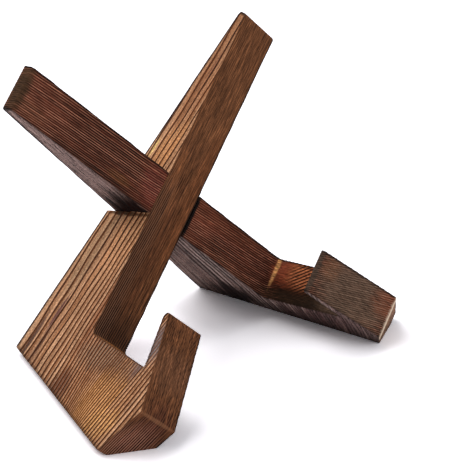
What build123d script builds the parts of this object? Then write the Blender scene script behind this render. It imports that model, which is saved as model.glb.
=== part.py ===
from build123d import *
import os
from math import cos, radians, sin, tan

# A tabletop display easel in two pieces: two halves of one outline, sawn from plank, that
# cross like an X and slide together in a cross-halving joint, with no glue or fastener.
# Lengths are in millimetres and angles in degrees. The reader is on the -Y side.

# The plank, and how the two halves stand
board_thickness = 22.8
lean_back = 16.0  # the plane that a book leans on, back from upright
crossing_angle = 90.0  # between the two arms, seen square to that plane
crossing_height = 72.0  # floor to the middle of the crossing, on the front edges

# The arm: its front edge is straight, and its back edge closes in towards the top
arm_above_crossing = 103.5
depth_at_crossing = 31.3
arm_end_depth = 6.6  # front edge to back edge, square to the front edge, at the top

# The hook that holds a book: a ledge that falls towards the reader, and a thin lip
ledge_below_crossing = 75.5
ledge_reach = 46.0  # front edge of the arm to the foot of the lip
ledge_fall = 13.8
lip_rise = 27.5  # along the arm, from the foot of the lip to its tip
lip_lean = 7.2  # the inner side of the lip leans towards the arm
lip_tip_width = 3.5
lip_front_length = 48.5  # square to the ledge

# The foot: a toe cut under the lip, then a level cut that stays clear of the floor on the
# outer side of the board, and a bevel on the floor that takes off its inner side
toe_cut = 38.0  # from the line of the front edge
outer_side_lift = 4.0

# Rounded corners of the outline, and the eased edges round both sides of the board
arm_end_radius = 2.0
ledge_corner_radius = 3.0
lip_foot_radius = 1.2
lip_tip_inner_radius = 2.8
lip_tip_outer_radius = 1.0
foot_corner_radius = 1.5
corner_side_share = 0.95  # of a side of the outline, for the rounded corners at its ends
edge_round = 0.5

# The cross-halving joint, square to the front edges
lap_side_clearance = 0.2
lap_seat_clearance = 0.3
slot_overrun = 12.0  # how far the cutters run past the wood

# The slots meet half way through the wood, and each arm tilts by half the crossing
lap_depth = depth_at_crossing / 2
arm_tilt = crossing_angle / 2

# Heights: gained along the arm, lost behind the front edge, and gained on the outer side
rise_along = cos(radians(arm_tilt)) * cos(radians(lean_back))
fall_behind = sin(radians(lean_back))
outer_side_rise = board_thickness / 2 * sin(radians(arm_tilt)) * cos(radians(lean_back))


def turned(angle):
    """A direction on the side of the board, turned from straight up the arm towards the back."""
    return Vector(cos(radians(angle)), sin(radians(angle)))


def meet(start, way, other_start, other_way):
    """The point where two straight lines on the side of the board cross."""
    gap = other_start - start
    along = gap.cross(other_way).Z / way.cross(other_way).Z
    return start + way * along


def fitted_radii(points, radii):
    """The corner radii, made smaller where two of them would meet on the side between them."""
    count = len(points)
    sides = [points[(i + 1) % count] - points[i] for i in range(count)]
    reach = []
    for i in range(count):
        half_corner = radians(180 - sides[i - 1].get_angle(sides[i])) / 2
        reach.append(radii[i] / tan(half_corner))
    crowding = [(reach[i] + reach[(i + 1) % count]) / sides[i].length for i in range(count)]
    fitted = []
    for i in range(count):
        worst = max(crowding[i - 1], crowding[i]) / corner_side_share
        fitted.append(radii[i] / max(worst, 1))
    return fitted


def outline():
    """The half seen square to its side: X runs up the arm, and Y from its front edge backwards."""
    level = Vector(fall_behind, rise_along)
    back_edge = Vector(0, depth_at_crossing)
    back_way = Vector(arm_above_crossing, arm_end_depth) - back_edge
    level_cut = Vector((outer_side_lift - crossing_height - outer_side_rise) / rise_along, 0)

    arm_end = Vector(arm_above_crossing, 0)
    ledge_corner = Vector(-ledge_below_crossing, 0)
    lip_foot = ledge_corner + turned(-90 - ledge_fall) * (ledge_reach / cos(radians(ledge_fall)))
    lip_tip_inner = lip_foot + turned(lip_lean) * (lip_rise / cos(radians(lip_lean)))
    lip_tip_outer = lip_tip_inner - Vector(0, lip_tip_width)
    toe = lip_tip_outer + turned(180 + ledge_fall) * lip_front_length
    toe_end = meet(toe, turned(180 - toe_cut), level_cut, level)
    heel = meet(level_cut, level, back_edge, back_way)
    arm_end_back = meet(arm_end, level, back_edge, back_way)

    rounded_corners = [
        (arm_end, arm_end_radius),
        (ledge_corner, ledge_corner_radius),
        (lip_foot, lip_foot_radius),
        (lip_tip_inner, lip_tip_inner_radius),
        (lip_tip_outer, lip_tip_outer_radius),
        (toe, foot_corner_radius),
        (toe_end, foot_corner_radius),
        (heel, foot_corner_radius),
        (arm_end_back, arm_end_radius),
    ]
    points, radii = zip(*rounded_corners)
    return FilletPolyline(*points, radius=fitted_radii(points, radii), close=True)


def board_plane(mirrored):
    """The middle plane of a half, as its outline is drawn, with the crossing as its origin."""
    across = Vector(sin(radians(arm_tilt)), 0)
    upwards = Vector(0, sin(radians(lean_back)), cos(radians(lean_back))) * cos(radians(arm_tilt))
    arm = upwards - across if mirrored else upwards + across
    backwards = Vector(0, cos(radians(lean_back)), -sin(radians(lean_back)))
    return Plane(origin=(0, 0, crossing_height), x_dir=arm, z_dir=arm.cross(backwards))


def board(mirrored):
    """A half before its slot: the outline at full thickness, eased edges, and the floor bevel."""
    blank = extrude(make_face(outline()), board_thickness / 2, both=True)
    sides = blank.faces().sort_by(Axis.Z)
    blank = fillet(sides[0].edges() + sides[-1].edges(), edge_round)
    return split(board_plane(mirrored) * blank, bisect_by=Plane.XY, keep=Keep.TOP)


def slot(mirrored, front, back):
    """The room that one half, the mirrored one or the other, takes up from front to back."""
    length = 2 * (board_thickness + slot_overrun)
    width = board_thickness + 2 * lap_side_clearance
    return board_plane(mirrored) * Pos(0, (front + back) / 2, 0) * Box(length, back - front, width)


def front_half():
    """The half whose front edge runs unbroken: its slot opens at the back."""
    cut = slot(True, lap_depth - lap_seat_clearance, depth_at_crossing + slot_overrun)
    return board(False) - cut


def back_half():
    """The half that stays put: its slot opens at the front, and takes the front half."""
    return board(True) - slot(False, -slot_overrun, lap_depth)


halves = {"front_half": front_half(), "back_half": back_half()}

# The origin is on the floor, under the middle of the box round the whole easel
middle = Compound(list(halves.values())).bounding_box().center()
to_origin = Pos(-middle.X, -middle.Y, 0)

os.makedirs("parts", exist_ok=True)
for name, half in halves.items():
    export_step(to_origin * half, f"parts/{name}.step")
print("crossing on the front edges:", to_origin.position + Vector(0, 0, crossing_height))
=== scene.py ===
from math import ceil, cos, pi, radians, sin, tan

import bmesh
import bpy
import numpy as np
from mathutils import Matrix, Vector, geometry


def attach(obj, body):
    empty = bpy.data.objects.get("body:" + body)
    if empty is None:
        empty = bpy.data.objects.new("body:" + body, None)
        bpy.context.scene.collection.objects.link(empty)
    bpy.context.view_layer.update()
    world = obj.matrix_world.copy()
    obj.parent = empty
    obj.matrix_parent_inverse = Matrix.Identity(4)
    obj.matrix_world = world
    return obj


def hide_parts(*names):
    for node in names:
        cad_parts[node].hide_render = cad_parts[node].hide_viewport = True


# A tabletop display easel of charred and brushed softwood: two halves that cross like an X.
# The frame gives the box, the bodies and the joint; the wood is worked out here in millimetres.

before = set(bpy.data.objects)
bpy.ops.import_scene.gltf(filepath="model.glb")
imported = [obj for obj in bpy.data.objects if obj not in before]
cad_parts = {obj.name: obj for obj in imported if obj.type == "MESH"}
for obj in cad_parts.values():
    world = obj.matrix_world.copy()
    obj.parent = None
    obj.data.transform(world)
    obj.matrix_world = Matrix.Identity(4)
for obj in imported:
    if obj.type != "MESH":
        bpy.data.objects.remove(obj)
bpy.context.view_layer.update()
scene = bpy.context.scene
print("frame loaded:", sorted(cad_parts))


studio = {
    "cameraPlace": (-449.60, -488.39, 377.44),   # mm
    "cameraYaw": -43.889,                        # degrees
    "cameraPitch": -25.277,
    "cameraRoll": 1.835,
    "lens": 117.709,
    "sensorWidth": 36,
    "clipStart": 0.01,
    "floorSize": 5.0,                            # m
    "floorColour": (0.80, 0.795, 0.84),
    "floorGain": (1.85, 3.2),                    # the paper is this much paler to the camera alone,
    "floorFade": (0.35, 1.5),                    # more so at the far end of these distances, m
    # painted light: the next three make the floor palest to the camera round one place between the
    # feet, which lightens the object's shadow there
    "paintedLightGain": 3.3,                             # and palest round one place between the feet
    "paintedLightPlace": (-0.022, 0.026, 0),
    "paintedLightFade": (0.012, 0.048),
    "worldLevel": 0.40,
}


def placeCamera(s):
    # yaw and pitch give the way ahead; right and up stand square to it, and turn by the roll
    yaw, pitch, roll = (radians(s[key]) for key in ("cameraYaw", "cameraPitch", "cameraRoll"))
    ahead = Vector((-sin(yaw) * cos(pitch), cos(yaw) * cos(pitch), sin(pitch)))
    right = ahead.cross(Vector((0, 0, 1))).normalized()
    up = right.cross(ahead)
    rolledRight = right * cos(roll) + up * sin(roll)
    rolledUp = up * cos(roll) - right * sin(roll)
    turn = Matrix((rolledRight, rolledUp, -ahead)).transposed().to_4x4()
    data = bpy.data.cameras.new("photoCamera")
    data.lens = s["lens"]
    data.sensor_width = s["sensorWidth"]
    data.clip_start = s["clipStart"]
    camera = bpy.data.objects.new("photoCamera", data)
    camera.matrix_world = Matrix.Translation(Vector(s["cameraPlace"]) / 1000) @ turn
    scene.collection.objects.link(camera)
    scene.camera = camera


class Wire:
    # Wraps one output socket. Arithmetic on it adds Math nodes; make() adds any other node.
    def __init__(self, socket):
        self.socket = socket
        self.tree = socket.id_data

    @classmethod
    def make(cls, tree, kind, settings=None, sockets=None, output=0):
        # settings are set first, and a socket gets a link from a Wire or else a value
        node = tree.nodes.new(kind)
        for name, value in (settings or {}).items():
            setattr(node, name, value)
        for name, value in (sockets or {}).items():
            if isinstance(value, Wire):
                tree.links.new(value.socket, node.inputs[name])
            else:
                node.inputs[name].default_value = value
        return cls(node.outputs[output])

    def math(self, operation, *terms):
        sockets = dict(enumerate(terms))
        return Wire.make(self.tree, "ShaderNodeMath", {"operation": operation}, sockets)

    def __add__(self, other):
        return self.math("ADD", self, other)

    def __radd__(self, other):
        return self.math("ADD", other, self)

    def __sub__(self, other):
        return self.math("SUBTRACT", self, other)

    def __rsub__(self, other):
        return self.math("SUBTRACT", other, self)

    def __mul__(self, other):
        return self.math("MULTIPLY", self, other)

    def __rmul__(self, other):
        return self.math("MULTIPLY", other, self)


# The next four work on sockets and on numpy arrays alike
def wave(x):
    return x.math("SINE", x) if isinstance(x, Wire) else np.sin(x)


def fraction(x):
    return x.math("FRACT", x) if isinstance(x, Wire) else x - np.floor(x)


def rise(x, low, high):
    # 0 below low, 1 above high, and 3t^2 - 2t^3 between them
    if isinstance(x, Wire):
        settings = {"interpolation_type": "SMOOTHSTEP"}
        sockets = {"Value": x, "From Min": low, "From Max": high}
        return Wire.make(x.tree, "ShaderNodeMapRange", settings, sockets)
    t = np.clip((x - low) / (high - low), 0, 1)
    return t * t * (3 - 2 * t)


def mixValue(factor, first, second):
    # first where the factor is 0, and second where it is 1
    return first + factor * (second - first)


def mix(factor, first, second):
    # the same for colours
    tree = next(x.tree for x in (factor, first, second) if isinstance(x, Wire))
    sockets = {0: factor, 6: first, 7: second}
    return Wire.make(tree, "ShaderNodeMix", {"data_type": "RGBA"}, sockets, output=2)


def vectors(operation, first, second=(0, 0, 0), output=0):
    # one step of vector maths; a length or a dot product comes out at "Value"
    sockets = {0: first, 1: second}
    return Wire.make(first.tree, "ShaderNodeVectorMath", {"operation": operation}, sockets, output)


def paint(red, green, blue):
    # a colour as read on a screen, 0 to 255, made linear
    shares = [level / 255 for level in (red, green, blue)]
    linear = [c / 12.92 if c <= 0.04045 else ((c + 0.055) / 1.055) ** 2.4 for c in shares]
    return (*linear, 1.0)


def newMaterial(name):
    # with an empty tree of nodes
    material = bpy.data.materials.new(name)
    material.use_nodes = True
    material.node_tree.nodes.clear()
    return material, material.node_tree


def toOutput(shader, kind="ShaderNodeOutputMaterial"):
    end = shader.tree.nodes.new(kind)
    shader.tree.links.new(shader.socket, end.inputs["Surface"])


def cameraOnly(tree):
    # 1 for what the camera sees, straight or in a gloss, and 0 for light that falls on things
    path = tree.nodes.new("ShaderNodeLightPath")
    rays = ("Is Camera Ray", "Is Glossy Ray", "Is Transmission Ray")
    seen, gloss, through = (Wire(path.outputs[name]) for name in rays)
    return seen.math("MAXIMUM", seen.math("MAXIMUM", seen, gloss), through)


def layFloor(s):
    # a square of paper, white in the light that it gives back, and paler as the camera sees it,
    # palest as painted light round one place between the feet
    reach = s["floorSize"] / 2
    corners = [(x * reach, y * reach, 0) for x, y in ((-1, -1), (1, -1), (1, 1), (-1, 1))]
    mesh = bpy.data.meshes.new("paperFloor")
    mesh.from_pydata(corners, [], [(0, 1, 2, 3)])
    floor = bpy.data.objects.new("paperFloor", mesh)
    scene.collection.objects.link(floor)
    material, tree = newMaterial("whitePaper")
    plain, near, far, paintedLight = ((*(share * gain for share in s["floorColour"]), 1)
                                for gain in (1, *s["floorGain"], s["paintedLightGain"]))
    place = Wire.make(tree, "ShaderNodeTexCoord", output="Object")
    away = vectors("LENGTH", place, output="Value")
    fromPaintedLight = vectors("LENGTH", vectors("SUBTRACT", place, s["paintedLightPlace"]), output="Value")
    paler = mix(rise(away, *s["floorFade"]), near, far)
    # painted light: palest to the camera round one place between the feet, so the object's shadow
    # there is lighter
    paler = mix(rise(fromPaintedLight, *s["paintedLightFade"]), paintedLight, paler)
    seen = mix(cameraOnly(tree), plain, paler)
    toOutput(Wire.make(tree, "ShaderNodeBsdfDiffuse", sockets={"Color": seen}))
    mesh.materials.append(material)


def lightWorld(s):
    # worldLevel for the light on things, and 1 for what the camera sees
    world = bpy.data.worlds.new("studioAir")
    scene.world = world
    world.use_nodes = True
    tree = world.node_tree
    tree.nodes.clear()
    level = s["worldLevel"] + cameraOnly(tree) * (1 - s["worldLevel"])
    sockets = {"Color": (1, 1, 1, 1), "Strength": level}
    toOutput(Wire.make(tree, "ShaderNodeBackground", sockets=sockets), "ShaderNodeOutputWorld")


lamps = {
    # name: place (m), where it points (m), width (m), watts, colour
    "softboxAbove": ((-0.38, 0.62, 1.20), (0, 0, 0.05), 1.3, 14.8, (1.0, 0.985, 0.96)),
    "softboxFront": ((0.35, -1.15, 0.75), (0, 0, 0.07), 0.8, 5.0, (1.0, 0.99, 0.98)),
}


def hangLamps(table):
    # a square area lamp at each place, its -Z towards the target
    for name, (place, target, width, watts, colour) in table.items():
        data = bpy.data.lights.new(name, "AREA")
        data.shape = "SQUARE"
        data.size = width
        data.energy = watts
        data.color = colour
        lamp = bpy.data.objects.new(name, data)
        turn = (Vector(target) - Vector(place)).to_track_quat("-Z", "Y").to_matrix().to_4x4()
        lamp.matrix_world = Matrix.Translation(place) @ turn
        scene.collection.objects.link(lamp)


placeCamera(studio)
layFloor(studio)
lightWorld(studio)
hangLamps(lamps)
scene.view_settings.view_transform = "Standard"
print("camera, floor and lamps are up")


# Sizes as in the CAD source, mm and degrees: u runs up the arm from the crossing, v from
# the front edge backwards, and w across the plank, from its middle to the outer side.
half = {
    "thickness": 22.8,
    "leanBack": 16.0,
    "armTilt": 45.0,
    "crossing": (0.0, 21.3930, 72.0),
    "armAbove": 103.5,
    "depthAtCrossing": 31.3,
    "armEndDepth": 6.6,
    "ledgeBelow": 75.5,
    "ledgeReach": 46.0,
    "ledgeFall": 13.8,
    "lipRise": 27.5,
    "lipLean": 7.2,
    "lipTipWidth": 3.5,
    "lipFront": 48.5,
    "toeCut": 38.0,
    "outerSideLift": 4.0,
    "armEndRadius": 2.0,
    "ledgeCornerRadius": 3.0,
    "lipFootRadius": 1.2,
    "lipTipRadii": (2.8, 1.0),
    "footRadius": 1.5,
    "cornerShare": 0.95,     # of a side of the outline, for the rounded corners at its ends
    "lapDepth": 15.65,
    "seatClearance": 0.3,
    "sideClearance": 0.2,
    "edgeRound": 0.5,
    "slotEdgeRound": 0.25,
    "edgeSteps": 5,
    "arcSteps": 8,
    "acrossSteps": 50,
    "rowSpacing": 0.31,      # rows of mesh points on a side, across the grain
    "rowStep": 1.7,          # and along it
    "rowTurns": 30,          # tries at finding a row's place, and how far off it may be
    "rowMiss": 0.01,
    "rowMargin": 0.22,       # from the rows to the eased edge
    "wearReach": 0.9,        # how far in the edges are worn, and how the wear comes and goes
    "wearWaves": ((0.36, 0.21), (0.13, -0.31, 0.4)),
    "sharpAngle": 50,
}

# Mesh spacing along each side of the outline, and how charred its eased edges are
sideKinds = {
    "front": (1.6, 0.0),
    "ledge": (0.45, 0.0),
    "lipInner": (1.3, 0.6),
    "lipTip": (0.45, 1.0),
    "lipFront": (1.3, 0.0),
    "toeCut": (0.9, 0.0),
    "sole": (0.5, 0.4),
    "back": (1.6, 1.0),
    "armEnd": (0.45, 1.0),
    "slot": (2.4, 0.0),
}


def plankAxes(mirrored, s=half):
    # up the arm, backwards, and out of the outer side
    flip = -1 if mirrored else 1
    tilt, lean = radians(s["armTilt"]), radians(s["leanBack"])
    arm = (flip * sin(tilt), cos(tilt) * sin(lean), cos(tilt) * cos(lean))
    backwards = (0, cos(lean), -sin(lean))
    outwards = (-flip * cos(tilt), sin(tilt) * sin(lean), sin(tilt) * cos(lean))
    return arm, backwards, outwards


def heading(angle):
    # a unit vector in (u, v), turned from straight up the arm towards the back
    return np.array([cos(radians(angle)), sin(radians(angle))])


def meet(start, way, otherStart, otherWay):
    # where two straight lines cross
    along = np.linalg.solve(np.column_stack([way, -otherWay]), otherStart - start)[0]
    return start + way * along


def outlineCorners(s, mirrored):
    # corner, its radius and the kind of side after it, clockwise with the back to the right
    lean, tilt = radians(s["leanBack"]), radians(s["armTilt"])
    fall, lipLean = radians(s["ledgeFall"]), radians(s["lipLean"])
    riseAlong, fallBehind = cos(tilt) * cos(lean), sin(lean)
    level = np.array([fallBehind, riseAlong])
    backEdge = np.array([0, s["depthAtCrossing"]])
    backWay = np.array([s["armAbove"], s["armEndDepth"]]) - backEdge
    outerRise = s["thickness"] / 2 * sin(tilt) * cos(lean)
    levelCut = np.array([(s["outerSideLift"] - s["crossing"][2] - outerRise) / riseAlong, 0])

    armEnd = np.array([s["armAbove"], 0])
    ledgeCorner = np.array([-s["ledgeBelow"], 0])
    lipFoot = ledgeCorner + heading(-90 - s["ledgeFall"]) * s["ledgeReach"] / cos(fall)
    tipInner = lipFoot + heading(s["lipLean"]) * s["lipRise"] / cos(lipLean)
    tipOuter = tipInner - np.array([0, s["lipTipWidth"]])
    toe = tipOuter + heading(180 + s["ledgeFall"]) * s["lipFront"]
    toeEnd = meet(toe, heading(180 - s["toeCut"]), levelCut, level)
    heel = meet(levelCut, level, backEdge, backWay)
    armEndBack = meet(armEnd, level, backEdge, backWay)
    innerRadius, outerRadius = s["lipTipRadii"]
    corners = fitRadii([
        (armEnd, s["armEndRadius"], "front"),
        (ledgeCorner, s["ledgeCornerRadius"], "ledge"),
        (lipFoot, s["lipFootRadius"], "lipInner"),
        (tipInner, innerRadius, "lipTip"),
        (tipOuter, outerRadius, "lipFront"),
        (toe, s["footRadius"], "toeCut"),
        (toeEnd, s["footRadius"], "sole"),
        (heel, s["footRadius"], "back"),
        (armEndBack, s["armEndRadius"], "armEnd"),
    ], s["cornerShare"])

    # the slot goes into the front edge of one half and the back edge of the other
    halfSlot = s["thickness"] / 2 + s["sideClearance"]
    if mirrored:
        start, low, high, depth = halfSlot, 0, 0, s["lapDepth"]
        place, kindAfter = 1, "front"    # after the arm end
    else:
        slope = backWay[1] / backWay[0]
        low, high = (s["depthAtCrossing"] + u * slope for u in (-halfSlot, halfSlot))
        start, depth = -halfSlot, s["lapDepth"] - s["seatClearance"]
        place, kindAfter = 8, "back"     # after the heel
    notch = ((start, low), (start, depth), (-start, depth), (-start, high))
    kinds = ("slot", "slot", "slot", kindAfter)
    corners[place:place] = [(np.array(point), 0.0, kind) for point, kind in zip(notch, kinds)]
    return corners


def fitRadii(corners, cornerShare):
    # A corner takes radius * tan(turn / 2) of each side. Radii shrink where two corners would
    # take more than their share of the side between them.
    points = np.array([c[0] for c in corners])
    radii = np.array([c[1] for c in corners])
    ahead = np.roll(points, -1, axis=0) - points
    length = np.linalg.norm(ahead, axis=1)
    way = ahead / length[:, None]
    turn = np.arccos(np.clip(np.sum(way * np.roll(way, 1, axis=0), axis=1), -1, 1))
    reach = radii * np.tan(turn / 2)
    crowding = (reach + np.roll(reach, -1)) / length
    worst = np.maximum(crowding, np.roll(crowding, 1)) / cornerShare
    fitted = radii / np.maximum(worst, 1)
    return [(c[0], r, c[2]) for c, r in zip(corners, fitted)]


def traceOutline(s, mirrored):
    # The outline as arrays: each corner is an arc, point = centre + normal * radius, and each
    # side a row of evenly spaced points. Columns: u, v, normal u, normal v, charring, easing.
    corners = outlineCorners(s, mirrored)
    count = len(corners)
    points = [c[0] for c in corners]
    ways = [points[(i + 1) % count] - points[i] for i in range(count)]
    ways = [way / np.linalg.norm(way) for way in ways]
    arcs = []
    for i, (point, radius, kind) in enumerate(corners):
        before, after, kindBefore = ways[i - 1], ways[i], corners[i - 1][2]
        n0, n1 = np.array([-before[1], before[0]]), np.array([-after[1], after[0]])
        char0, char1 = sideKinds[kindBefore][1], sideKinds[kind][1]
        if radius == 0:
            normal = (n0 + n1) / (1 + n0 @ n1)
            deep = kind == kindBefore == "slot"
            easing = s["slotEdgeRound"] if deep else s["edgeRound"]
            arcs.append(np.array([[*point, *normal, 0, easing]]))
            continue
        turn = np.arctan2(n0[0] * n1[1] - n0[1] * n1[0], n0 @ n1)
        side = -np.sign(turn)                      # 1 on an outer corner, -1 in an inner one
        t = np.linspace(0, 1, s["arcSteps"] + 1)
        angle = np.arctan2(n0[1], n0[0]) + turn * t
        normals = np.column_stack([np.cos(angle), np.sin(angle)])
        reach = radius * tan(abs(turn) / 2)
        centre = point - before * reach - side * n0 * radius
        spots = centre + side * normals * radius
        charring = char0 + (char1 - char0) * t
        easing = np.full(len(t), s["edgeRound"])
        arcs.append(np.column_stack([spots, normals, charring, easing]))
    line = []
    for i, (point, radius, kind) in enumerate(corners):
        line.append(arcs[i])
        start, stop = arcs[i][-1, :2], arcs[(i + 1) % count][0, :2]
        spacing, char = sideKinds[kind]
        steps = max(1, ceil(np.linalg.norm(stop - start) / spacing))
        t = np.linspace(0, 1, steps + 1)[1:-1, None]
        easing = s["slotEdgeRound"] if kind == "slot" else s["edgeRound"]
        same = np.tile([-ways[i][1], ways[i][0], char, easing], (len(t), 1))
        line.append(np.column_stack([start + (stop - start) * t, same]))
    return np.vstack(line)


def distanceToLine(points, line, chunks=24):
    # the shortest way from each point to a closed line of short segments, and which segment it is
    nearest = np.zeros(len(points))
    which = np.zeros(len(points), int)
    ahead = np.roll(line, -1, axis=0) - line
    squared = np.maximum(np.sum(ahead ** 2, axis=1), 1e-12)
    for chunk in np.array_split(np.arange(len(points)), chunks):
        gap = points[chunk, None] - line[None]
        t = np.clip(np.sum(gap * ahead, axis=2) / squared, 0, 1)
        squares = np.sum((gap - t[..., None] * ahead) ** 2, axis=2)
        which[chunk] = np.argmin(squares, axis=1)
        nearest[chunk] = np.sqrt(np.min(squares, axis=1))
    return nearest, which


def insideLine(points, line, chunks=24):
    # a point is inside where a ray from it crosses the line an odd number of times
    inside = np.zeros(len(points), bool)
    following = np.roll(line, -1, axis=0)
    height = np.where(following[:, 1] == line[:, 1], 1e-9, following[:, 1] - line[:, 1])
    for chunk in np.array_split(np.arange(len(points)), chunks):
        x, y = points[chunk, 0, None], points[chunk, 1, None]
        spans = (line[:, 1] > y) != (following[:, 1] > y)
        crossing = line[:, 0] + (y - line[:, 1]) / height * (following[:, 0] - line[:, 0])
        inside[chunk] = np.sum(spans & (x < crossing), axis=1) % 2 == 1
    return inside


grain = {
    "footLevel": -90.0,          # u at which a line is named by its own v
    "slope": 0.19,               # how far the lines drop back for each mm down the arm
    "slopeGain": 0.0011,         # and how much more for each mm further back
    "toeSlope": 0.30,            # more again in the toe, in front of toeEdges
    "toeEdges": (-25.0, -5.0),
    "ringRate": 0.345,           # rings a mm, on average
    "ringSwing": 0.17,           # dense at densest, and wide apart far behind it
    "swingRate": 0.045,
    "densest": -24.0,
    "wanderWave": (0.052, 0.10),
    "rippleWave": (0.19, -0.23),
    "hardWidth": 0.98,           # of a ring's hard line, mm, where rings are far apart,
    "hardThinning": 0.45,        # and how much of it goes for each ring a mm
    "hardStart": (-0.10, 0.14),  # mm over which it comes
    "hardEnd": 0.12,             # and goes
}


def lineSlope(v, g=grain):
    # slope + slopeGain * v, and toeSlope more in the toe
    return g["slope"] + g["slopeGain"] * v + g["toeSlope"] * (1 - rise(v, *g["toeEdges"]))


def lineName(u, v, g=grain):
    # a grain line keeps one value from end to end: the v at which it passes footLevel
    return v + lineSlope(v) * (u - g["footLevel"])


def ringDensity(q, g=grain):
    # rings a mm: the average plus a swing of a long wave, highest on the line named densest
    return g["ringRate"] + g["ringSwing"] * wave(g["swingRate"] * (q - g["densest"]) + pi / 2)


def ringNumber(u, q, w, look, g=grain):
    # the sum of ringDensity from line to line, with rings that lean across the plank and wander
    swing = g["ringSwing"] / g["swingRate"]
    rings = g["ringRate"] * q + swing * wave(g["swingRate"] * (q - g["densest"]))
    rings = rings + look["acrossRate"] * w + look["acrossBend"] * w * w
    for strength, (along, over), seeds in (
        (look["wander"], g["wanderWave"], 1),
        (look["ripple"], g["rippleWave"], 2),
    ):
        rings = rings + strength * wave(along * u + over * q + seeds * look["seed"])
    return rings


def lateWood(rings, density, g=grain):
    # The hard dark line at the end of each ring: 1 on it and 0 off it. Its width, in mm, is
    # hardWidth - hardThinning * density, and it comes more slowly than it goes.
    place = fraction(rings)
    start = 1 - (g["hardWidth"] - g["hardThinning"] * density) * density
    early, late = (start + share * density for share in g["hardStart"])
    return rise(place, early, late) * (1 - rise(place, 1 - g["hardEnd"] * density, 1.0))


def rimGrid(s, line):
    # Each point of the outline makes a row: a quarter arc round one edge, straight across the
    # plank, and a quarter arc round the other. The arcs move in by easing * (1 - cosine).
    spot, normal, easing = line[:, :2], line[:, 2:4], line[:, 5, None]
    theta = np.linspace(pi / 2, 0, s["edgeSteps"] + 1)
    share = np.linspace(1, -1, s["acrossSteps"] + 1)[1:-1]
    cosine = np.concatenate([np.cos(theta), np.ones(len(share)), np.cos(theta[::-1])])
    sine = np.concatenate([np.sin(theta), np.zeros(len(share)), -np.sin(theta[::-1])])
    straight = np.concatenate([np.ones(len(theta)), share, -np.ones(len(theta))])
    w = straight * (s["thickness"] / 2 - easing) + easing * sine
    uv = spot[:, None] - normal[:, None] * (easing * (1 - cosine))[..., None]
    edgeGap = np.where(sine != 0, 0.0, s["thickness"] / 2 - np.abs(w))
    return uv, w, edgeGap, cosine, sine


def sideRows(s, loop, loopName):
    # Rows of points along the grain lines, every other row half a step on, inside the loop. A
    # point's v is the mean of v and name - slope * (u - footLevel), taken again and again.
    steps = np.arange(loop[:, 0].min(), loop[:, 0].max(), s["rowStep"])
    rows = np.arange(loopName.min(), loopName.max(), s["rowSpacing"])
    u, name = np.meshgrid(steps, rows)
    u = u + (np.arange(len(rows)) % 2)[:, None] * s["rowStep"] / 2
    v = name.copy()
    for turn in range(s["rowTurns"]):
        v = (v + name - lineSlope(v) * (u - grain["footLevel"])) / 2
    settled = np.abs(lineName(u, v) - name) < s["rowMiss"]
    field, name = np.column_stack([u[settled], v[settled]]), name[settled]
    inside = insideLine(field, loop)
    field, name = field[inside], name[inside]
    gap, closest = distanceToLine(field, loop)
    keep = gap > s["rowMargin"]
    return field[keep], name[keep], gap[keep], closest[keep]


def sideTriangles(s, loop, loopName, field, fieldName):
    # shrunk along the grain first, so that the triangles lie along the rows
    along = np.concatenate([loop[:, 0], field[:, 0]]) * (s["rowSpacing"] / s["rowStep"])
    flat = np.column_stack([along, np.concatenate([loopName, fieldName])])
    points = [Vector(point) for point in flat.tolist()]
    filled = geometry.delaunay_2d_cdt(points, [], [list(range(len(loop)))], 1, 1e-7)
    source = np.array([ids[0] for ids in filled[3]])
    return source[np.array(filled[2])]


def reliefDepth(s, look, u, v, w, rim, edge):
    # The soft wood is brushed out between the hard lines, and the edges are worn in bites:
    # a steady reach in from the edge, times one wave times another.
    q = lineName(u, v)
    density = mixValue(rim, ringDensity(q), look["rimDensity"])
    late = lateWood(ringNumber(u, q, w, look), density)
    depth = (look["sideRelief"] * (1 - rim) + look["rimRelief"] * rim) * (1 - late)
    (a, b), (c, d, e) = s["wearWaves"]
    bite = wave(a * u + b * q + look["seed"]) * wave(c * u + d * q + e * w)
    return depth + look["edgeWear"] * np.exp(-edge / s["wearReach"]) * (0.5 + 0.5 * bite)


def cutAtFloor(mesh):
    # the floor takes off the inner side of the foot, and the cut is closed
    work = bmesh.new()
    work.from_mesh(mesh)
    everything = work.verts[:] + work.edges[:] + work.faces[:]
    bmesh.ops.bisect_plane(work, geom=everything, plane_co=(0, 0, 0), plane_no=(0, 0, 1),
                           clear_inner=True)
    loose = [edge for edge in work.edges if edge.is_boundary]
    bmesh.ops.triangle_fill(work, edges=loose, use_beauty=True, normal=(0, 0, -1))
    bmesh.ops.recalc_face_normals(work, faces=work.faces[:])
    openEdges = sum(1 for edge in work.edges if not edge.is_manifold)
    volume = work.calc_volume(signed=True) * 1e6
    work.to_mesh(mesh)
    work.free()
    return openEdges, volume


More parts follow.
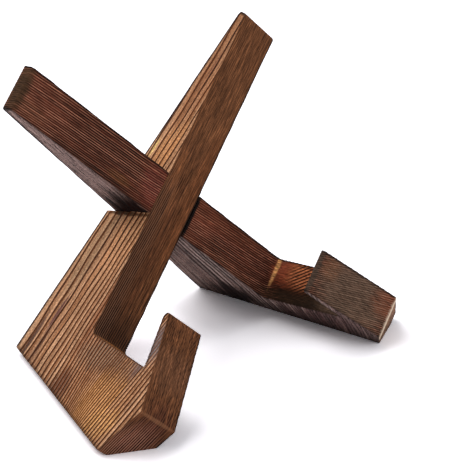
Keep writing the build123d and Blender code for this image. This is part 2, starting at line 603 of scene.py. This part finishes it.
def buildHalf(name, mirrored, look, s=half):
    # rim and two sides in (u, v, w), less the relief along the normal; then a point of the
    # world is crossing + u * arm + v * backwards + w * outwards
    line = traceOutline(s, mirrored)
    rimUV, rimW, rimGap, cosine, sine = rimGrid(s, line)
    loop = rimUV[:, 0]
    loopName = lineName(loop[:, 0], loop[:, 1])
    field, fieldName, gap, closest = sideRows(s, loop, loopName)
    triangles = sideTriangles(s, loop, loopName, field, fieldName)

    # rim points first, then the outer side's, then the inner side's
    n, columns, m = len(line), len(cosine), len(field)
    zeros, ones, halfThick = np.zeros(m), np.ones(m), s["thickness"] / 2
    normal, charring, easing = line[:, 2:4], line[:, 4], line[:, 5]
    unit = normal / np.linalg.norm(normal, axis=1)[:, None]
    u = np.concatenate([rimUV[..., 0].ravel(), field[:, 0], field[:, 0]])
    v = np.concatenate([rimUV[..., 1].ravel(), field[:, 1], field[:, 1]])
    w = np.concatenate([rimW.ravel(), halfThick * ones, -halfThick * ones])
    normalU = np.concatenate([(unit[:, None, 0] * cosine).ravel(), zeros, zeros])
    normalV = np.concatenate([(unit[:, None, 1] * cosine).ravel(), zeros, zeros])
    normalW = np.concatenate([np.tile(sine, n), ones, -ones])
    rim = np.concatenate([np.tile(cosine, n), zeros, zeros])
    char = np.concatenate([np.repeat(charring, columns), charring[closest], charring[closest]])
    edge = np.concatenate([rimGap.ravel(), gap, gap])
    inSlot = np.concatenate([np.repeat(easing < s["edgeRound"], columns), zeros, zeros])

    depth = reliefDepth(s, look, u, v, w, rim, edge) * (1 - inSlot)
    u, v, w = u - normalU * depth, v - normalV * depth, w - normalW * depth
    arm, backwards, outwards = plankAxes(mirrored)
    world = np.array(s["crossing"]) + np.outer(u, arm) + np.outer(v, backwards)
    world = world + np.outer(w, outwards)

    i, k = np.meshgrid(np.arange(n), np.arange(columns - 1), indexing="ij")
    here, there = i * columns + k, (i + 1) % n * columns + k
    quads = np.stack([here, there, there + 1, here + 1], axis=-1).reshape(-1, 4)
    onRim = triangles < n
    outer = np.where(onRim, triangles * columns, triangles - n + n * columns)
    inner = np.where(onRim, triangles * columns + columns - 1, triangles - n + n * columns + m)
    faces = quads.tolist() + outer.tolist() + inner[:, ::-1].tolist()
    mesh = bpy.data.meshes.new(name)
    mesh.from_pydata((world / 1000).tolist(), [], faces)
    for title, values in (("rim", rim), ("charring", char), ("edgeGap", edge)):
        layer = mesh.attributes.new(title, "FLOAT", "POINT")
        layer.data.foreach_set("value", values.astype(np.float32))
    openEdges, volume = cutAtFloor(mesh)
    mesh.shade_smooth()
    mesh.set_sharp_from_angle(angle=radians(s["sharpAngle"]))
    piece = bpy.data.objects.new(name, mesh)
    scene.collection.objects.link(piece)
    print(name, "points", len(mesh.vertices), "faces", len(mesh.polygons),
          "open edges", openEdges, "cm3", round(volume, 2))
    return piece


# What each half looks like. A patch is a ball that frays, in (u, v, w): its middle, its reach
# along the grain, over the lines and across the plank, its colour and its strength. Most are
# stains of the wood; those marked below are painted shade, painted shadows and painted
# highlights. Some are for the sides, some for the rim faces, and some colour only the hard
# line of each ring.
frontLook = {
    "seed": 1.1,
    "acrossRate": 0.80,                  # rings a mm across the plank, and how that changes
    "acrossBend": 0.006,
    "rimDensity": 0.53,                  # rings a mm on rim faces, for the width of hard lines
    "wander": 0.14,                      # how many rings they wander
    "ripple": 0.05,                      # and in short waves
    "rimStretch": 0.84,                  # how much longer the short marks are on rim faces
    "sideRelief": 0.20,                  # mm brushed out between hard lines
    "rimRelief": 0.10,
    "edgeWear": 0.08,                    # mm worn off the edges
    # darker wood, paler wood and hard line
    "outerSide": (paint(160, 110, 76), paint(206, 160, 124), paint(30, 12, 4)),
    "innerSide": (paint(112, 90, 84), paint(146, 122, 116), paint(66, 48, 46)),
    "rim": (paint(72, 42, 26), paint(127, 80, 51), paint(106, 68, 44)),
    "amber": (paint(150, 76, 28), 0.72),  # just before the hard line, on the outer side
    "lineSpread": (0.12, 0.2),           # how unevenly hard lines show: outer side, the rest
    "lineStrength": (1.0, 1.0, 0.9),     # outer side, inner side, rim faces; the next three too
    "fibreShade": (0.46, 1.0, 0.54),
    "dashShade": (0.40, 0.40, 0.18),
    "gritShade": (1.0, 0.9, 1.25),
    "shadeBase": 1.12,
    "earlyShade": 0.16,                  # how much paler each ring starts
    # dark colour of charred edges, also painted as shade towards the floor
    "charredAndShade": paint(16, 10, 8),
    "ridgeScorch": (0.12, 0.92),         # of edges that aren't charred: outer side, inner side
    # strength of the painted shade towards the floor
    "footShade": 0.22,
    "sideStainsAndShade": (
        ((-22, 8, 11), (32, 13, 2), paint(230, 168, 122), 0.7),
        ((-36, 30, 11), (30, 8, 2), paint(152, 124, 96), 0.5),
        ((-62, -4, 11), (30, 14, 2), paint(138, 84, 64), 0.35),
        ((-82, 42.6, 11), (17, 1.9, 2), paint(84, 60, 52), 0.9),
        ((-85, 34.6, 11), (12, 2.0, 2), paint(80, 60, 52), 0.95),
        ((-69, 33, 11), (12, 1.4, 2), paint(78, 44, 50), 0.85),
        ((-98, 38, 11), (12, 7, 2), paint(120, 84, 66), 0.4),
        ((-85, -16, 11), (10, 20, 2), paint(136, 118, 100), 0.72),
        ((-92, -32, 11), (8, 15, 2), paint(112, 96, 80), 0.45),
        ((-104, 6, 11), (11, 9, 2), paint(82, 52, 46), 0.68),
        ((-106, -24, 11), (16, 18, 2), paint(236, 174, 112), 0.7),
        ((-116, -34, 11), (9, 13, 2), paint(250, 188, 120), 0.6),
        ((27, 10, 11), (17, 9, 2), paint(226, 160, 104), 0.45),
        ((25, 21, 11), (6, 1.6, 2), paint(250, 212, 140), 0.9),
        ((45, 19, 11), (13, 2.4, 2), paint(104, 86, 80), 0.7),
        ((56, 8, 11), (24, 10, 2), paint(158, 106, 74), 0.6),
        ((73, 5, 11), (9, 1.8, 2), paint(84, 54, 54), 0.8),
        ((78, 6, 11), (40, 13, 2), paint(142, 94, 64), 0.65),
        ((-72, -49, 11), (20, 8, 2), paint(132, 123, 122), 1.0),
        # painted shade: a dark band on the outer side beside the other half's arm where the halves
        # cross
        ((-12.5, 16, 11), (1.4, 24, 2), paint(24, 11, 6), 0.85),
    ),
    "rimStainsShadeAndHighlights": (
        ((17, 0, 7.5), (12, 30, 4), paint(150, 90, 50), 0.4),
        ((72, 0, 0), (60, 40, 24), paint(124, 80, 52), 0.65),
        ((5, 0, -7), (50, 30, 5), paint(116, 68, 40), 0.6),
        ((-30, 0, 0), (46, 30, 5), paint(88, 50, 33), 0.5),
        ((-42, 0, 8), (56, 30, 9), paint(54, 31, 18), 0.85),
        ((-76, 0, 0), (22, 22, 20), paint(40, 25, 17), 0.85),
        # painted highlight along the rounded corner at the foot of the ledge
        ((-76.5, -2, 0), (1.8, 3, 14), paint(190, 124, 72), 0.9),
        ((-84, -51, 0), (34, 9, 22), paint(122, 84, 62), 0.45),
        ((-114, -46, 0), (18, 18, 14), paint(70, 35, 28), 0.85),
    ),
    "sideLineStainsAndShade": (
        ((-72, -49, 11), (20, 8, 2), paint(106, 92, 86), 1.0),
    ),
    "rimLineStainsAndShade": (
        ((-40, 0, 8), (80, 40, 7), paint(150, 106, 82), 0.75),
        ((80, 0, 9), (40, 40, 5), paint(38, 22, 14), 0.7),
        ((-120, -40, 0), (16, 16, 16), paint(214, 152, 124), 0.95),
    ),
    "rimStripes": (),
    "bareAndHighlit": (
        # painted highlight along the edge between the lip front and the toe cut
        ((-106.4, -57.6, 0), (1.1, 1.7, 14), paint(170, 118, 84), 0.35),
    ),
}

backLook = {
    "seed": 4.3,
    "acrossRate": 0.93,
    "acrossBend": -0.004,
    "rimDensity": 0.53,
    "wander": 0.22,
    "ripple": 0.06,
    "rimStretch": 0.8,
    "sideRelief": 0.18,
    "rimRelief": 0.12,
    "edgeWear": 0.08,
    "outerSide": (paint(160, 110, 76), paint(206, 160, 124), paint(30, 12, 4)),
    "innerSide": (paint(56, 33, 29), paint(166, 134, 124), paint(210, 184, 176)),
    "rim": (paint(24, 7, 2), paint(68, 28, 16), paint(202, 136, 108)),
    "amber": (paint(150, 76, 28), 0.72),
    "lineSpread": (0.12, 0.6),
    "lineStrength": (1.0, 0.9, 0.9),
    "fibreShade": (0.46, 1.5, 0.60),
    "dashShade": (0.40, 0.90, 0.44),
    "gritShade": (1.0, 1.6, 0.9),
    "shadeBase": 1.12,
    "earlyShade": 0.16,
    # dark colour of charred edges, also painted as shade towards the floor
    "charredAndShade": paint(16, 10, 8),
    "ridgeScorch": (0.9, 0.35),
    # strength of the painted shade towards the floor
    "footShade": 0.55,
    "sideStainsAndShade": (
        ((-85, -52, -11), (36, 14, 1.0), paint(120, 98, 94), 0.8),
        ((62, 8, -11), (52, 14, 2), paint(164, 138, 132), 0.7),
        ((-42, 8, -11), (26, 14, 2), paint(48, 28, 25), 0.75),
        # painted shadow: near black on the inner side where the front half shades it at the
        # crossing
        ((9, 12, -11), (25, 28, 2), paint(18, 1, 0), 1.0),
        # painted shade: the next two darken the downward inner side low down by the floor
        ((-96, -22, -11), (20, 34, 2), paint(80, 52, 50), 0.9),
        ((-76, 20, -11), (17, 15, 2), paint(26, 11, 11), 0.95),
    ),
    "rimStainsShadeAndHighlights": (
        ((92, 0, 0), (22, 30, 16), paint(94, 48, 34), 0.5),
        ((96, 0, -6), (12, 30, 5), paint(98, 60, 40), 0.5),
        ((52, 0, -3), (26, 30, 14), paint(40, 17, 11), 0.4),
        ((16, 0, 2), (10, 30, 12), paint(112, 46, 42), 0.5),
        ((36, 0, -6.5), (9, 30, 3), paint(96, 62, 28), 0.45),
        ((55, 0, -9.5), (34, 30, 1.6), paint(30, 16, 11), 0.7),
        ((-20, 0, 2), (12, 30, 12), paint(108, 52, 36), 0.45),
        ((-68, 0, 0), (10, 14, 14), paint(40, 17, 12), 0.5),
        ((-24, 0, 8), (56, 30, 7), paint(84, 41, 26), 0.55),
        # painted shadow: a thin dark line on the rim where the front half's edge crosses it
        ((-12, 0, 0), (1.45, 12, 20), paint(8, 3, 2), 1.0),
        ((-79, -10, 5), (8, 22, 9), paint(156, 78, 52), 0.85),
        ((-80, -19, 6), (9, 11, 11), paint(200, 122, 80), 0.7),
        ((-82, -25, -9), (16, 36, 7), paint(46, 33, 22), 0.9),
        # painted highlight along the rounded corner at the foot of the ledge, fading towards the
        # inner side
        ((-75.5, -0.9, 9), (1.15, 1.9, 15), paint(236, 170, 106), 0.95),
        ((-85, -52, 0), (40, 25, 22), paint(92, 71, 58), 0.85),
        ((-68, -47, 5), (9, 6, 7), paint(130, 84, 56), 0.4),
        ((-102, -57, 5), (14, 10, 9), paint(132, 66, 40), 0.4),
        ((-59.6, -45, 0), (2.4, 7, 18), paint(76, 62, 52), 0.85),
        ((-119, -50, 0), (12, 12, 22), paint(150, 112, 84), 0.8),
        ((103, 3, 0), (4.0, 8, 18), paint(70, 50, 34), 0.95),
    ),
    "sideLineStainsAndShade": (
        ((60, 10, -11), (52, 16, 2), paint(156, 132, 126), 0.8),
        # painted shadow: hard lines near black where the front half shades the inner side at the
        # crossing
        ((9, 12, -11), (25, 28, 2), paint(24, 3, 0), 1.0),
        ((-60, 36, -11), (60, 16, 2), paint(132, 108, 100), 0.55),
        ((-42, 8, -11), (26, 14, 2), paint(255, 226, 216), 0.8),
        # painted shade: hard lines darkened low on the downward inner side by the floor
        ((-96, -24, -11), (24, 38, 2), paint(98, 74, 71), 0.85),
        ((-92, -54, -11), (44, 20, 2), paint(102, 80, 76), 0.85),
        # painted shade: hard lines darkened low on the downward inner side by the floor
        ((-76, 20, -11), (17, 15, 2), paint(40, 22, 22), 0.95),
    ),
    "rimLineStainsAndShade": (
        ((-56, 0, 5), (42, 30, 14), paint(196, 122, 98), 0.65),
        ((-24, 0, 8), (56, 30, 7), paint(148, 90, 62), 0.6),
        ((36, 0, -7), (60, 30, 5), paint(150, 92, 70), 0.6),
        ((-84, -26, 0), (18, 46, 30), paint(24, 9, 5), 1.0),
        # painted shadow: hard lines near black too where the front half's edge crosses the rim
        ((-12, 0, 0), (1.45, 12, 20), paint(8, 3, 2), 1.0),
        ((-85, -50, 0), (54, 24, 24), paint(154, 126, 106), 0.95),
        ((-79, -19, 5), (9, 12, 12), paint(150, 82, 40), 0.9),
        ((-59.6, -45, 0), (2.4, 7, 18), paint(80, 66, 56), 0.85),
        ((103, 3, 0), (4.0, 8, 18), paint(70, 50, 36), 0.95),
    ),
    "rimStripes": (
        # as stains, with waves a mm across the plank and backwards
        ((-80, -19, 4), (9, 10.5, 14), (0.45, 0.336), paint(28, 12, 6), 0.95),
    ),
    "bareAndHighlit": (
        ((-109, -55.6, 0), (3.4, 3.0, 22), paint(238, 214, 188), 0.9),
    ),
}


# What both woods share
finish = {
    # noise patterns: rate along the grain, rate over the lines and across, detail, roughness
    "fibre": (0.08, 1.3, 3.0, 0.65),
    "dash": (0.34, 2.1, 2.0, 0.6),
    "grit": (0.9, 2.4, 2.0, 0.7),
    "streak": (0.012, 0.4, 2.0, 0.5),
    "chance": (12.9, 43.7),              # two factors that scatter the numbers of the rings
    "rimSlowing": 0.5,                   # how much wider they are over rim faces, at least
    "sideTurn": (-4.0, 4.0),             # w over which the inner side's look becomes the outer's
    "streakTone": (0.36, 0.64),          # where tones turn pale, and what they are mixed from
    "sideTone": (0.6, 0.4),              # streak, chance
    "rimMarks": (0.5, 0.4, 0.1),         # fibre, dash, grit
    "rimTone": (0.42, 0.60),
    "patchFade": (0.45, 1.15),           # shares of a patch's reach
    "fray": (0.8, 0.25, 0.4),            # fibre, chance, streak
    "rimFray": 0.5,                      # how much less on rim faces
    "fibreRange": (0.34, 0.66),
    "dashRange": (0.50, 0.72),
    "gritRange": (0.42, 0.70),
    "gritMiddle": 0.4,
    "earlyRange": (0.0, 0.35),
    "lineBreaks": (0.35, 0.65),
    "amberReach": (2.0, 0.7),            # mm before the end of a ring
    "stripeGrit": 0.8,
    "stripeRange": (0.2, 0.9),
    "charredScorch": 0.9,
    "scorchGrit": 1.2,
    "scorchFade": (1.1, 2.3),            # mm from the edge
    # painted shade towards the floor: how much the streak noise moves its edge, and where it fades
    "footStreak": 10,
    "footFade": (5.0, 20.0),             # mm above the floor
    "roughness": (0.66, 0.2, 0.08),      # plain, more by fibre, less by hard line
    "bumps": (0.5, 0.5, 0.35, 0.2),      # hard line, fibre, dash, grit
    "bumpStrength": 0.6,
    "bumpDistance": 0.0004,
    "specular": 0.06,
}


def weighed(values, weights):
    # the sum of the values, each times its weight
    first, *others = (value * weight for value, weight in zip(values, weights))
    return sum(others, first)


def woodFinish(name, mirrored, look, s=half, f=finish):
    # colour = tone * shade, under amber, hard lines and stripes, and last the scorched edges,
    # painted shade towards the floor, the bare edges and a painted highlight; each layer is mixed
    # over the ones before it
    material, tree = newMaterial(name)

    def joined(x, y, z):
        return Wire.make(tree, "ShaderNodeCombineXYZ", sockets={0: x, 1: y, 2: z})

    def noise(title, x, y, z):
        alongRate, overRate, detail, roughness = f[title]
        place = joined(x * alongRate, y * overRate, z * overRate)
        sockets = {"Vector": place, "Scale": 1.0, "Detail": detail, "Roughness": roughness}
        return Wire.make(tree, "ShaderNodeTexNoise", sockets=sockets)

    # where a point is: mm in the plank, mm above the floor, which face, and which ring
    objectPlace = Wire.make(tree, "ShaderNodeTexCoord", output="Object")
    centred = vectors("SUBTRACT", objectPlace, tuple(x / 1000 for x in s["crossing"]))
    u, v, w = (vectors("DOT_PRODUCT", centred, axis, "Value") * 1000
               for axis in plankAxes(mirrored))
    height = vectors("DOT_PRODUCT", objectPlace, (0, 0, 1), "Value") * 1000
    rim, charring, gap = (
        Wire.make(tree, "ShaderNodeAttribute", {"attribute_name": title}, output="Fac")
        for title in ("rim", "charring", "edgeGap"))
    side = 1 - rim
    outward = rise(w, *f["sideTurn"])
    q = lineName(u, v)
    rings = ringNumber(u, q, w, look)
    density = mixValue(rim, ringDensity(q), look["rimDensity"])
    late = lateWood(rings, density)
    rate, gain = f["chance"]
    chance = fraction(wave(rings.math("FLOOR", rings) * rate) * gain)

    along = u * (1 - look["rimStretch"] * rim)
    slowing = f["rimSlowing"]
    slow = q * (1 - (slowing + (1 - slowing) * look["rimStretch"]) * rim)
    fibre, dash, grit = (noise(title, along, slow, w) for title in ("fibre", "dash", "grit"))
    streak = noise("streak", u, q, w)

    def faceValue(key):
        outer, inner, onRim = look[key]
        return mixValue(rim, mixValue(outward, inner, outer), onRim)

    # tone: streaks and rings make the sides darker and paler, and short marks the rim faces
    faces = zip(look["innerSide"], look["outerSide"], look["rim"])
    deep, pale, line = (mix(rim, mix(outward, inner, outer), edge) for inner, outer, edge in faces)
    onSides = weighed((rise(streak, *f["streakTone"]), chance), f["sideTone"])
    onRims = rise(weighed((fibre, dash, grit), f["rimMarks"]), *f["rimTone"])
    tone = mix(mixValue(rim, onSides, onRims), deep, pale)

    # patches, stains and painted shade and highlights alike: the distance from the middle in
    # reaches, plus the fray, fades them out
    fray = weighed((fibre - 0.5, chance - 0.5, streak - 0.5), f["fray"]) * (1 - f["rimFray"] * rim)
    place = joined(u, q, w)

    def around(middle, reach):
        named = (middle[0], lineName(middle[0], middle[1]), middle[2])
        away = vectors("DIVIDE", vectors("SUBTRACT", place, named), reach)
        distance = vectors("LENGTH", away, output="Value") + fray
        return 1 - rise(distance, *f["patchFade"])

    def patched(colour, patches, where):
        for middle, reach, tint, strength in patches:
            colour = mix(around(middle, reach) * strength * where, colour, tint)
        return colour

    tone = patched(patched(tone, look["sideStainsAndShade"], side), look["rimStainsShadeAndHighlights"], rim)
    line = patched(patched(line, look["sideLineStainsAndShade"], side), look["rimLineStainsAndShade"], rim)

    # shade: fibres, short pores, grit and the pale start of each ring
    shade = look["shadeBase"] + faceValue("fibreShade") * (rise(fibre, *f["fibreRange"]) - 0.5)
    shade = shade - faceValue("dashShade") * rise(dash, *f["dashRange"])
    shade = shade + faceValue("gritShade") * (rise(grit, *f["gritRange"]) - f["gritMiddle"])
    shade = shade + side * look["earlyShade"] * (1 - rise(fraction(rings), *f["earlyRange"]))
    colour = Wire.make(tree, "ShaderNodeVectorMath", {"operation": "SCALE"},
                       {0: tone, "Scale": shade})

    # lines: amber before the hard line, the hard line itself, and stripes of their own
    onOuter = outward * side
    amber, strength = look["amber"]
    start, end = (1 - reach * density for reach in f["amberReach"])
    colour = mix(rise(fraction(rings), start, end) * onOuter * strength, colour, amber)
    outerSpread, otherSpread = look["lineSpread"]
    spread = mixValue(onOuter, otherSpread, outerSpread)
    hard = late * (1 - spread * (1 - chance)) * (1 - spread * rise(dash, *f["lineBreaks"]))
    colour = mix(hard * faceValue("lineStrength"), colour, line)
    for middle, reach, (acrossRate, backRate), tint, strength in look["rimStripes"]:
        stripe = wave((acrossRate * w + backRate * v) * (2 * pi)) + grit * f["stripeGrit"]
        stripe = rise(stripe, *f["stripeRange"])
        colour = mix(stripe * around(middle, reach) * strength * rim, colour, tint)

    # edges: scorched, darker towards the floor by painted shade, pale where worn bare, and a
    # painted highlight on the front half's toe edge
    outerRidge, innerRidge = look["ridgeScorch"]
    ridge = mixValue(charring, mixValue(outward, innerRidge, outerRidge), f["charredScorch"])
    scorch = (1 - rise(gap + grit * f["scorchGrit"], *f["scorchFade"])) * ridge
    foot = (1 - rise(height + streak * f["footStreak"], *f["footFade"])) * look["footShade"]
    colour = mix(scorch, colour, look["charredAndShade"])
    colour = mix(foot, colour, look["charredAndShade"])
    colour = patched(colour, look["bareAndHighlit"], rim)

    plain, byFibre, byLine = f["roughness"]
    roughness = plain + byFibre * fibre - byLine * late
    relief = Wire.make(tree, "ShaderNodeBump", sockets={
        "Height": weighed((late, fibre, dash, grit), f["bumps"]),
        "Strength": f["bumpStrength"], "Distance": f["bumpDistance"]})
    toOutput(Wire.make(tree, "ShaderNodeBsdfPrincipled", sockets={
        "Base Color": colour, "Roughness": roughness, "Normal": relief,
        "Specular IOR Level": f["specular"]}))
    return material


for name, node, slot, mirrored, look in (
    ("frontHalf", "front_half", "front_wood", False, frontLook),
    ("backHalf", "back_half", "back_wood", True, backLook),
):
    piece = buildHalf(name, mirrored, look)
    piece.data.materials.append(woodFinish(name + "Wood", mirrored, look))
    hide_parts(node)
    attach(piece, node)
print("both halves have their wood")
